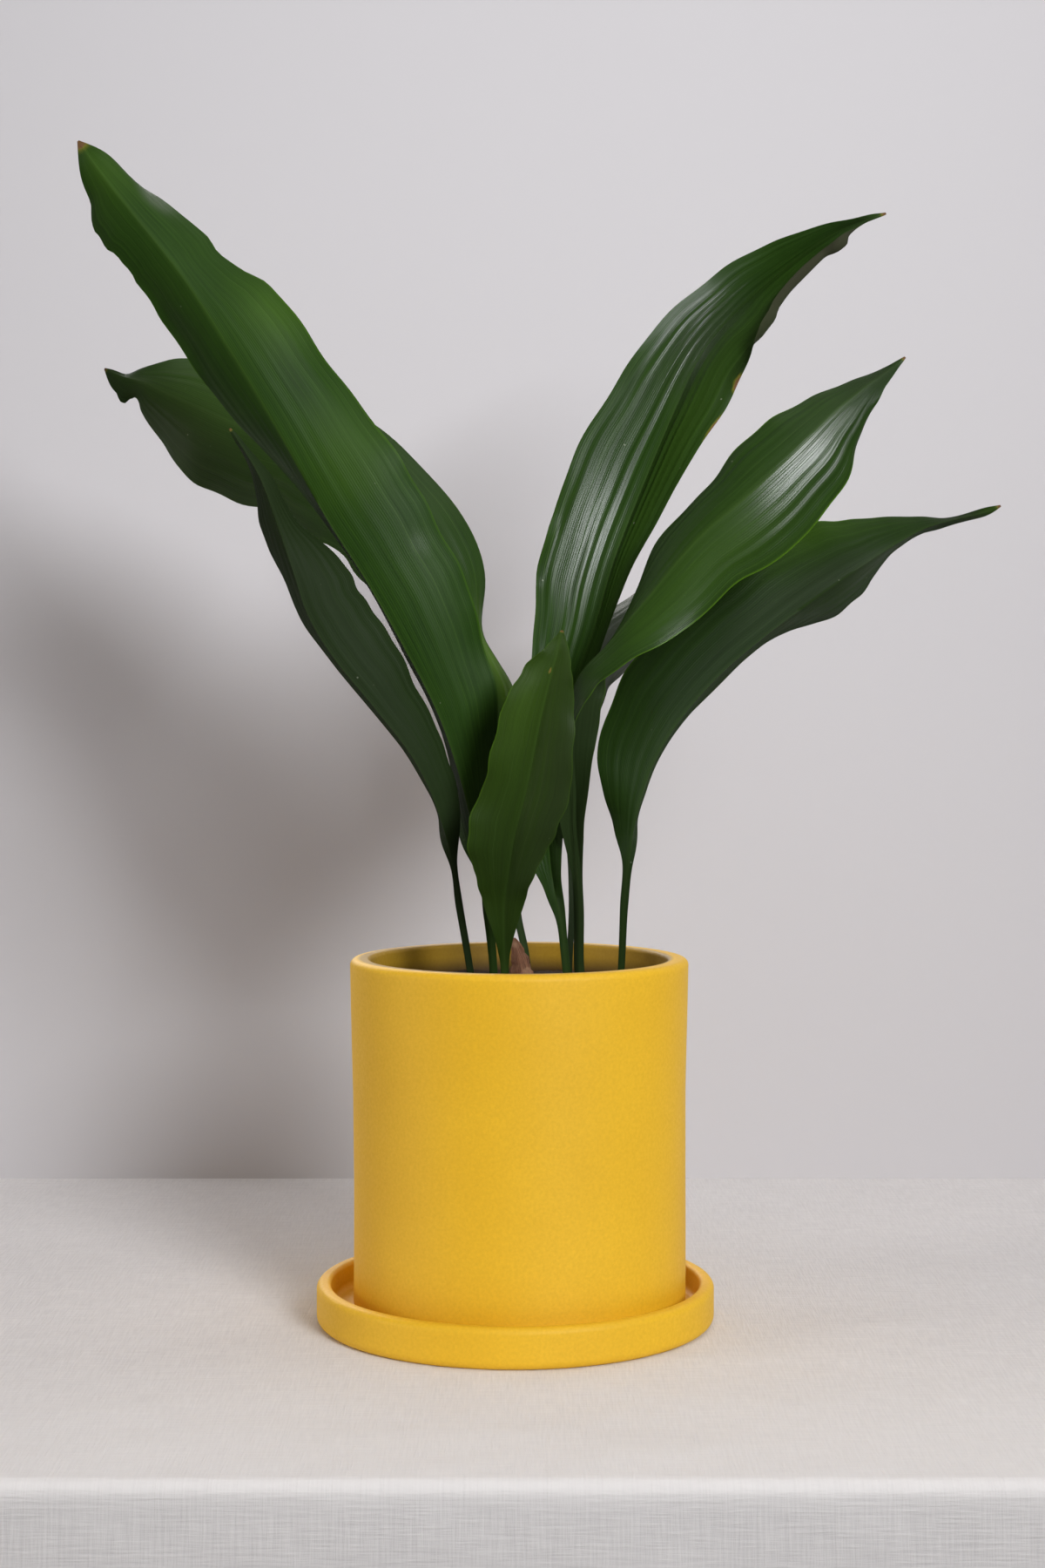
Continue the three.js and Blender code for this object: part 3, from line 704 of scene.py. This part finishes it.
def lift(name, sign, t, share, width, seed):
    """How far the blade stands off its smooth form: waves at the margin, and folds along it."""
    looks = LOOKS[name]

    # waves, which grow towards the margin
    swell = turns(5 * t, seed + sign)
    ripple = turns(8.3 * t, 2 * seed - sign)
    crimp = turns(17 * t, 3 * seed + 2 * sign) * turns(3.7 * t, seed)
    height = WAVE * looks.get("wave", 1) * rise(width, 0, 30) * share ** 2
    wave = height * (swell + 0.6 * ripple + 0.3 * share ** 3 * crimp)

    # folds, which wander across the blade, come and go along it, and fade towards its edges
    drift = 0.5 * turns(1.3 * t, seed) + 0.3 * turns(3.1 * t, 2 * seed)
    fold = turns(5.5 * share ** 0.9 + 0.12 * drift, seed * sign)
    fold = fold + 0.25 * turns(11.3 * share + 0.2 * drift, 2 * seed)
    fade = rise(share, 0, 1 / 6) * np.clip((1 - share) * 5, 0.25, 1) * rise(width, 5, 25)
    swing = 0.65 + 0.5 * turns(1.1 * t, 11 * share + seed)
    swing = np.clip(swing + 0.3 * turns(2.9 * t, -17 * share), 0.1, 1.3)
    low, high = looks["folds"]
    depth = low + (high - low) * rise(t, 0.62, 0.745)
    return wave + depth * fold * fade * swing


def leaf_grid(name, rows, seed, thick):
    """A leaf's upper and lower faces as grids of points, and each point's place on the blade."""
    rows = np.array(rows, float)
    t = np.linspace(0, 1, (len(rows) - 1) * RINGS_PER_ROW + 1)
    here = rows_at(rows, t)
    centre = here[:, :3]
    step = 0.2 / (len(rows) - 1)            # a fifth of the way to the next row
    along = unit(rows_at(rows, t + step)[:, :3] - rows_at(rows, t - step)[:, :3])
    side = unit(np.cross(along, (0, -1, 0)))
    face = np.cross(side, along)
    left, right = (half_blade(name, sign, t, here, side, face, seed) for sign in (-1, 1))
    crease = unit(left[1][:, :1] + right[1][:, :1])
    offset, out, share, reach = (
        np.concatenate([a[:, :0:-1], b], axis=1) for a, b in zip(left, right))

    # the two halves' normals meet softly at the midrib
    soft = rise(share, 0, 0.2)[..., None]
    out = unit(out * soft + crease * (1 - soft))

    # the midrib thins towards the tip, and the blade towards its margin
    middle = centre[:, None, :] + offset
    rib = STALK_RIB * np.clip(1.1 - 1.2 * t, 0.1, 1)[:, None]
    body = rib * np.maximum(0, 1 - (reach / RIB_HALF_WIDTH) ** 2)
    half = thick / 2 * (1 - 0.5 * share ** 8)
    upper = middle + out * half[..., None]
    lower = middle - out * (half + body)[..., None]

    length = np.concatenate([[0], np.cumsum(np.linalg.norm(np.diff(centre, axis=0), axis=1))])
    sign = np.where(np.arange(2 * COLUMNS + 1) < COLUMNS, -1.0, 1.0)[None, :]
    place = {
        "across": sign * share,
        "across_mm": sign * share * here[:, 3:5].max(),
        "along": t[:, None] + 0 * share,
        "along_mm": length[:, None] + 0 * share,
        "reach": reach,
    }
    return upper, lower, place


def grid_faces(rings, columns):
    """The faces of a closed skin between an upper and a lower grid."""
    count = rings * columns
    ids = np.arange(count).reshape(rings, columns)
    top = np.stack([ids[:-1, :-1], ids[:-1, 1:], ids[1:, 1:], ids[1:, :-1]], -1).reshape(-1, 4)
    faces = [top, top[:, ::-1] + count]
    for column, flip in ((0, False), (columns - 1, True)):
        low, high = ids[:-1, column], ids[1:, column]
        strip = np.stack([low + count, low, high, high + count], -1)
        faces.append(strip[:, ::-1] if flip else strip)
    for ring, flip in ((0, False), (rings - 1, True)):
        left, right = ids[ring, :-1], ids[ring, 1:]
        strip = np.stack([left + count, right + count, right, left], -1)
        faces.append(strip[:, ::-1] if flip else strip)
    return np.concatenate(faces)


def layer_amount(name, kind, place):
    """A leaf's even share of a layer and its soft spots."""
    total = LOOKS[name].get(kind, 0) + 0 * place["along"]
    for spot, at, where, size_along, size_across, amount in SPOTS.get(name, []):
        if spot == kind:
            near_along = ((place["along"] - at) / size_along) ** 2
            near_across = ((place["across"] - where) / size_across) ** 2
            total = total + amount * np.exp(-(near_along + near_across))
    return total


def join_layers(*layers):
    """Three layers as one row of three for each point."""
    return np.stack([np.clip(each, 0, 1.3) for each in layers], -1).reshape(-1, 3)


def tone(name, place):
    """Three layers: nearness to the midrib, dryness and paleness, which in a few spots is painted
    light.
    """
    rib = np.exp(-place["reach"] ** 2)
    margin = rise(np.abs(place["across"]), 0.965, 1) * rise(place["along"], 0.35, 0.475)
    pale = layer_amount(name, "pale", place) + LOOKS[name].get("rim", 0) * margin
    return join_layers(rib, layer_amount(name, "dry", place), pale)


def cast(name, place):
    """Three layers: how grey and matt the face is, how yellow, and how dark; in a few spots the
    grey is a painted sheen and the dark is painted shade.
    """
    dull = np.clip(layer_amount(name, "dull", place), 0, 1)
    stalk = 0.5 * (1 - rise(place["along"], 0.2, 0.2 + 1 / 6))
    dark = np.clip(layer_amount(name, "dark", place) + stalk, 0, 1)
    return join_layers(dull, layer_amount(name, "warm", place), dark)


def shine(name, place):
    """How thick the leaf's wax coat is."""
    coat = np.clip(2 * (layer_amount(name, "shine", place) - 0.05), 0, 1)
    return join_layers(coat, 0 * coat, 0 * coat)


def store(mesh, name, values):
    """Puts three values on each point of the mesh, for Graph.attribute() to read."""
    layer = mesh.attributes.new(name, "FLOAT_VECTOR", "POINT")
    layer.data.foreach_set("vector", values.astype(np.float32).ravel())


def leaf_mesh(name, rows, seed, thick):
    """A closed skin that carries each point's place on the blade and its tone."""
    upper, lower, place = leaf_grid(name, rows, seed, thick)
    rings, columns = upper.shape[:2]
    points = np.concatenate([upper.reshape(-1, 3), lower.reshape(-1, 3)])
    points[:, 0] += POT_SHIFT
    mesh = bpy.data.meshes.new(name + "_blade")
    mesh.from_pydata((points * MM).tolist(), [], grid_faces(rings, columns).tolist())
    below = np.repeat([0.0, 1.0], rings * columns)
    blade = [np.tile(place[key].ravel(), 2) for key in ("across_mm", "along_mm")]
    coat = shine(name, place)
    store(mesh, "blade", np.stack([*blade, below], -1))
    store(mesh, "tone", np.tile(tone(name, place), (2, 1)))
    store(mesh, "cast", np.tile(cast(name, place), (2, 1)))
    store(mesh, "shine", np.concatenate([coat, UNDER_WAX * coat]))
    mesh.shade_smooth()
    mesh.set_sharp_from_angle(angle=math.radians(SHARP_LEAF))
    return mesh


def add_piece(mesh, material, slot, *nodes):
    """A piece of the object, which takes the place of the nodes that it names."""
    piece = bpy.data.objects.new(mesh.name, mesh)
    PIECES.append(piece)
    bpy.context.collection.objects.link(piece)
    mesh.materials.append(material)
    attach(piece, "root")
    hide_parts(*nodes)


def build_plant():
    leaf = leaf_material()
    for i, (name, rows) in enumerate(LEAVES.items()):
        add_piece(leaf_mesh(name, rows, i * SEED_STEP, BLADE_THICK), leaf, "leaf", name)
    sheath = leaf_mesh("sheath", SHEATH, 0, SHEATH_THICK)
    add_piece(sheath, sheath_material(), "sheath", "sheath")


def arc(centre_r, centre_z, radius, start, end, steps):
    """Points on an arc from one angle to another, in degrees, with both ends."""
    angles = np.radians(np.linspace(start, end, steps + 1))
    return [(centre_r + radius * math.cos(a), centre_z + radius * math.sin(a)) for a in angles]


def line(start, end, steps):
    """Points that divide a line, without its start and with its end."""
    start, end = np.array(start), np.array(end)
    return [tuple(start + (end - start) * i / steps) for i in range(1, steps)] + [tuple(end)]


def turned_mesh(name, profile, centre_x, relief):
    """A closed profile of radius and height turned about Z, with a small relief pushed outwards."""
    profile = np.array(profile, float)
    count = len(profile)
    angle = np.linspace(0, 2 * math.pi, TURNED_SIDES, endpoint=False)[None, :]
    r, z = profile[:, 0][:, None], profile[:, 1][:, None] + 0 * angle
    r = r + relief(z, angle) * rise(r, 0, 20)
    points = np.stack([centre_x + r * np.cos(angle), r * np.sin(angle), z], -1)
    ids = np.arange(count * TURNED_SIDES).reshape(count, TURNED_SIDES)
    beside, above = np.roll(ids, -1, axis=1), np.roll(ids, -1, axis=0)
    faces = np.stack([ids, beside, np.roll(beside, -1, axis=0), above], -1).reshape(-1, 4)
    mesh = bpy.data.meshes.new(name)
    mesh.from_pydata((points.reshape(-1, 3) * MM).tolist(), [], faces.tolist())
    mesh.shade_smooth()
    mesh.set_sharp_from_angle(angle=math.radians(SHARP_POTTERY))
    return mesh


def pot_unevenness(z, angle):
    """Tenths of a millimetre, as cast and sanded stoneware has."""
    return 0.25 * np.sin(3 * angle + 0.6) * np.sin(z / 40) + 0.12 * np.sin(7 * angle + z / 25)


def saucer_unevenness(z, angle):
    """The saucer is a little out of round."""
    return 0.15 * np.sin(2 * angle + 1)


def pot_profile():
    """Radius and height, from the drain hole under the foot, up the outside and down the inside."""
    b = POT_BOTTOM
    foot = [(8, b + 2), (20, b + 2), (40, b + 2), (57.5, b + 2), (58, b + 2), (60, b), (60.5, b)]
    foot += [(77.8, b)] + arc(78.3, b + 3, 3, -90, 0, 8) + [(81.3, b + 3.6)]
    low, middle, high = (81.0, b + 64.6), (81.2, b + 105.4), (82.1, b + 144.5)
    outside = line(foot[-1], low, 8) + line(low, middle, 6) + line(middle, high, 5)
    rim = [(82.45, b + 164)] + arc(79.3, b + 166.8, 3.2, 0, 90, 12)
    rim += [(78.4, b + 170), (75.4, b + 170)] + arc(74.5, b + 168, 2, 90, 180, 8)
    inside = line((POT_INNER_R, b + 167), (POT_INNER_R, b + 16.6), 20)
    floor = arc(66.5, b + 16, 6, 0, -90, 6) + [(40, b + 10), (9, b + 10), (8, b + 10)]
    return foot + outside + rim + inside + floor


def saucer_profile():
    """Radius and height, from the middle of the underside, up the outside and back inside."""
    outside = [(AXIS_R, 0), (50, 0), (92.4, 0)] + arc(93, 4, 4, -90, 0, 10)
    outside += [(97, 4.6), (97, 10), (97, 15.4)]
    rim = arc(93.8, 16.3, 3.2, 0, 90, 12) + [(93.2, 19.5), (92.6, 19.5)]
    rim += arc(92, 17.5, 2, 90, 180, 8)
    inside = [(90, 17), (90, 12), (90, 10.4)] + arc(87, 10, 3, 0, -90, 8)
    floor = [(86.4, 7), (50, 7), (AXIS_R, 7)]
    return outside + rim + inside + floor


def build_pottery():
    glaze = glaze_material()
    pot = turned_mesh("pot_body", pot_profile(), POT_SHIFT, pot_unevenness)
    saucer = turned_mesh("saucer_body", saucer_profile(), 0, saucer_unevenness)
    add_piece(pot, glaze, "glaze", "pot")
    add_piece(saucer, glaze, "glaze", "saucer")


def ground_height(x, y):
    """The height of the soil's surface, with low mounds and crumbs."""
    point = Vector((x * 0.05, y * 0.05, 0.3))
    coarse = noise.fractal(point, 0.8, 2.0, 3)
    fine = noise.fractal(point * 7, 0.7, 2.0, 3)
    return SOIL_TOP + 1.2 * coarse + 0.9 * fine


def build_soil():
    """A plain block below, and an uneven surface that runs from the pot's wall to the middle."""
    edge = POT_INNER_R - SOIL_GAP
    block = [(AXIS_R, SOIL_BOTTOM), (edge - SOIL_BEVEL, SOIL_BOTTOM)]
    block += [(edge, SOIL_BOTTOM + SOIL_BEVEL), (edge, 100)]
    surface = [edge * (1 - i / (SOIL_RINGS + 0.02)) for i in range(SOIL_RINGS + 1)]
    ways = [(math.cos(a), math.sin(a)) for a in
            (2 * math.pi * k / SOIL_SIDES for k in range(SOIL_SIDES))]
    points = [(r * c, r * s, z) for r, z in block for c, s in ways]
    points += [(r * c, r * s, ground_height(r * c, r * s)) for r in surface for c, s in ways]
    points = [((x + POT_SHIFT) * MM, y * MM, z * MM) for x, y, z in points]

    sides = range(SOIL_SIDES)
    top = len(points) - SOIL_SIDES
    faces = [[top + k for k in sides], list(reversed(sides))]
    for low in range(0, top, SOIL_SIDES):
        high = low + SOIL_SIDES
        for k in sides:
            beside = (k + 1) % SOIL_SIDES
            faces.append((low + k, low + beside, high + beside, high + k))
    mesh = bpy.data.meshes.new("soil_bed")
    mesh.from_pydata(points, [], faces)
    mesh.shade_smooth()
    add_piece(mesh, soil_material(), "soil", "soil")


def stage_mesh(name, points, faces, material):
    """A surface that isn't part of the object."""
    mesh = bpy.data.meshes.new(name)
    mesh.from_pydata(points, [], faces)
    mesh.materials.append(material)
    mesh.shade_smooth()
    made = bpy.data.objects.new(name, mesh)
    bpy.context.collection.objects.link(made)


def build_stage():
    """A table whose linen hangs over its rounded front edge, and a wall behind it."""
    profile = [(TABLE_BACK, 0.0), (TABLE_FRONT, 0.0)]
    for a in np.radians(np.arange(15, 91, 15)):
        profile.append((TABLE_FRONT - EDGE_RADIUS * math.sin(a), EDGE_RADIUS * (math.cos(a) - 1)))
    profile.append((TABLE_FRONT - HEM_OUT, HEM_HEIGHT))
    ends = (-TABLE_HALF_WIDTH, TABLE_HALF_WIDTH)
    points = [(x, y, z) for y, z in profile for x in ends]
    faces = [(2 * i + 1, 2 * i, 2 * i + 2, 2 * i + 3) for i in range(len(profile) - 1)]
    stage_mesh("table", points, faces, linen_material())
    corners = [(x, TABLE_BACK, WALL_FOOT) for x in ends]
    corners += [(x, TABLE_BACK, WALL_TOP) for x in reversed(ends)]
    stage_mesh("wall", corners, [(0, 1, 2, 3)], wall_material())


def area_light(name):
    """A round area light from its row in LIGHTS."""
    place, target, size, power, degrees, colour = LIGHTS[name]
    data = bpy.data.lights.new(name, "AREA")
    data.shape = "DISK"
    data.size, data.energy, data.color = size, power, colour
    data.spread = math.radians(degrees)
    light = bpy.data.objects.new(name, data)
    light.location = place
    light.rotation_euler = (Vector(target) - Vector(place)).to_track_quat("-Z", "Y").to_euler()
    bpy.context.collection.objects.link(light)
    return light


def build_light():
    """Soft lights. The one behind the wall passes through it and falls on the object alone."""
    lights = {name: area_light(name) for name in LIGHTS}
    plant = bpy.data.collections.new("plant")
    for piece in PIECES:
        plant.objects.link(piece)
    linking = lights["back"].light_linking
    linking.receiver_collection = linking.blocker_collection = plant
    world = bpy.data.worlds.new("room")
    world.use_nodes = True
    sky = world.node_tree.nodes["Background"].inputs
    sky["Color"].default_value = (*SKY_COLOUR, 1)
    sky["Strength"].default_value = SKY_STRENGTH
    bpy.context.scene.world = world
    bpy.context.scene.view_settings.view_transform = "Standard"


def build_camera():
    data = bpy.data.cameras.new("camera")
    data.lens = LENS
    data.clip_end = CAMERA_REACH
    camera = bpy.data.objects.new("camera", data)
    camera.location = CAMERA_PLACE
    camera.rotation_euler = (math.pi / 2 - CAMERA_TILT, 0, 0)
    bpy.context.collection.objects.link(camera)
    bpy.context.scene.camera = camera


build_camera()
build_pottery()
build_soil()
build_plant()
build_stage()
build_light()
